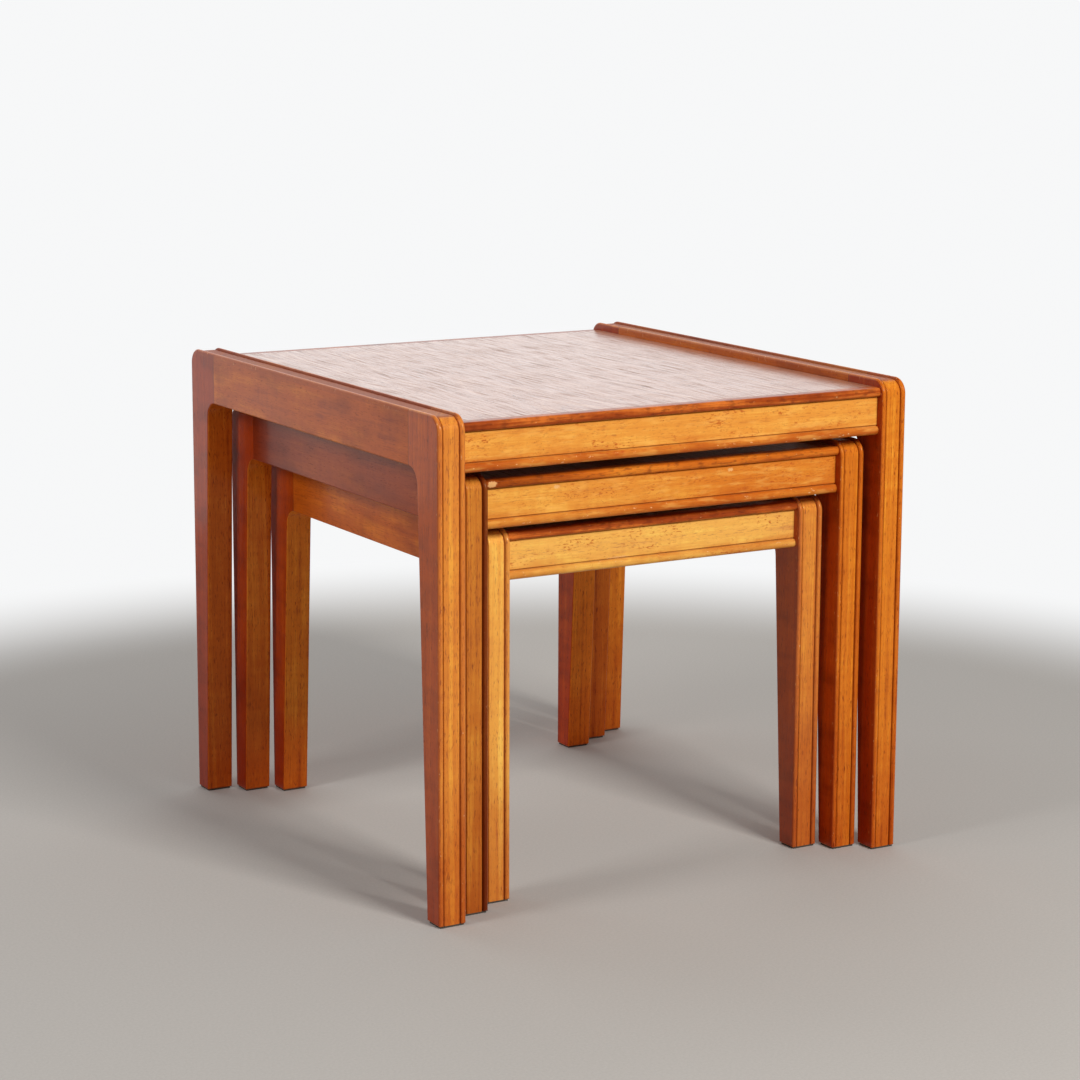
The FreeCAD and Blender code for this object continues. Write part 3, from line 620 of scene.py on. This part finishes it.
# In metres, from the middle of the nest: where the floor starts to fade, where it is white, its edge.
FADE_START, FADE_END, FLOOR_EDGE = 0.76, 1.2, 120.0
MIDDLE_LOOP = 2.0
HAZE_HEIGHT = 0.0006
SLIDE_REACH = 0.98
RING_SIDES = 96
FADED_WHITE = (0.93, 0.935, 0.94, 1.0)

# Lights: sizes and places in metres, linear colours.
NEST_MIDDLE = (0, 0, 0.2)
SOFTBOX_SIZE = (0.7, 0.7)
WALL_SIZE = (4.1, 2.3)
WARM_WHITE = (1.0, 0.98, 0.95)
BACKDROP_COLOR = (0.97, 0.98, 1.0, 1.0)
BACKDROP_STRENGTH = 0.22

# Camera: lens and sensor in millimetres, angles in degrees, place in metres.
SENSOR_WIDTH, LENS = 36.0, 95.8
SHIFT = (-0.0218, -0.0292)
CAMERA_HEADING, CAMERA_PITCH, CAMERA_ROLL = 30.75, 10.52, 0.30
CAMERA_PLACE = (-1.3138, -2.2583, 0.7793)
CLIP_END = 500.0


def disc_mesh(name, radii, height):
    """Flat rings round the origin; the first radius may be 0."""
    made = bmesh.new()
    turns = [2 * math.pi * i / RING_SIDES for i in range(RING_SIDES)]
    loops = [[made.verts.new((r * math.cos(a), r * math.sin(a), height)) for a in turns]
             for r in radii if r]
    if not radii[0]:
        made.faces.new(loops[0])
    for inner, outer in zip(loops, loops[1:]):
        for i in range(RING_SIDES):
            k = (i + 1) % RING_SIDES
            made.faces.new((inner[i], outer[i], outer[k], inner[k]))
    mesh = bpy.data.meshes.new(name)
    made.to_mesh(mesh)
    made.free()
    shape = bpy.data.objects.new(name, mesh)
    bpy.context.scene.collection.objects.link(shape)
    return shape


def new_material(name):
    material = bpy.data.materials.new(name)
    material.use_nodes = True
    return material, Graph(material.node_tree), material.node_tree.nodes["Principled BSDF"]


def make_floor():
    """A plain pale grey floor; past the tables a sheet that only the camera sees fades it to white."""
    floor = disc_mesh("studio_floor", (0, MIDDLE_LOOP, FLOOR_EDGE), 0.0)
    material, g, shader = new_material("studio_floor")
    place = g.node("ShaderNodeTexCoord").outputs["Object"]
    weave = g.noise(g.vector("MULTIPLY", place, (420, 420, 420)), detail=3, roughness=0.7)
    g.feed(shader.inputs["Base Color"], g.mix(weave, srgb(170, 166, 161), srgb(190, 186, 181)))
    shader.inputs["Roughness"].default_value = 0.9
    shader.inputs["Specular IOR Level"].default_value = 0.2
    floor.data.materials.append(material)

    haze = disc_mesh("studio_haze", (FADE_START, MIDDLE_LOOP, FLOOR_EDGE), HAZE_HEIGHT)
    material, g, shader = new_material("studio_haze")
    tree = material.node_tree
    tree.nodes.remove(shader)
    # The clear patch is stretched to the front, where the smaller tables slide out.
    x, y = g.split(g.node("ShaderNodeTexCoord").outputs["Object"])[:2]
    along = g.math("MAXIMUM", g.math("MINIMUM", y, 0.0), -SLIDE_REACH)
    far = g.step(g.vector("LENGTH", g.join(x, g.math("SUBTRACT", y, along), 0.0)), FADE_START, FADE_END)
    glow = g.node("ShaderNodeEmission")
    glow.inputs["Color"].default_value = FADED_WHITE
    blend = g.node("ShaderNodeMixShader")
    clear = g.node("ShaderNodeBsdfTransparent")
    for socket, value in zip(blend.inputs, (far, clear.outputs[0], glow.outputs[0])):
        g.feed(socket, value)
    g.feed(tree.nodes["Material Output"].inputs["Surface"], blend.outputs[0])
    haze.data.materials.append(material)
    for sort in ("diffuse", "glossy", "transmission", "shadow", "volume_scatter"):
        setattr(haze, f"visible_{sort}", False)


def add_area_light(name, place, target, size, power, color=(1, 1, 1)):
    data = bpy.data.lights.new(name, "AREA")
    data.shape, data.size, data.size_y = "RECTANGLE", size[0], size[1]
    data.energy, data.color = power, color
    light = bpy.data.objects.new(name, data)
    light.location = place
    light.rotation_euler = (Vector(target) - Vector(place)).to_track_quat("-Z", "Y").to_euler()
    bpy.context.scene.collection.objects.link(light)
    return light


def make_lights():
    world = bpy.data.worlds.new("studio_world")
    bpy.context.scene.world = world
    world.use_nodes = True
    backdrop = world.node_tree.nodes["Background"]
    backdrop.inputs["Color"].default_value = BACKDROP_COLOR
    backdrop.inputs["Strength"].default_value = BACKDROP_STRENGTH
    add_area_light("front_softbox", (0.35, -2.6, 1.9), NEST_MIDDLE, SOFTBOX_SIZE, 72, WARM_WHITE)
    add_area_light("left_softbox", (-2.5, -0.35, 1.7), NEST_MIDDLE, SOFTBOX_SIZE, 22)
    wall = add_area_light("white_wall", (0.95, 1.25, 1.2), (0.95, 0, 1.2), WALL_SIZE, 31)
    wall.visible_camera = False


def make_camera():
    """The viewing angle of the reference: 31 degrees left of the front, 10.5 above level."""
    data = bpy.data.cameras.new("camera")
    data.sensor_width = SENSOR_WIDTH
    data.lens = LENS
    data.shift_x, data.shift_y = SHIFT
    data.clip_end = CLIP_END
    camera = bpy.data.objects.new("camera", data)
    heading, pitch, roll = (math.radians(a) for a in (CAMERA_HEADING, CAMERA_PITCH, CAMERA_ROLL))
    turn = (Matrix.Rotation(-heading, 4, "Z") @ Matrix.Rotation(math.pi / 2 - pitch, 4, "X")
            @ Matrix.Rotation(roll, 4, "Z"))
    camera.matrix_world = Matrix.Translation(CAMERA_PLACE) @ turn
    bpy.context.scene.collection.objects.link(camera)
    bpy.context.scene.camera = camera


make_floor()
make_lights()
make_camera()
bpy.context.scene.view_settings.view_transform = "Standard"
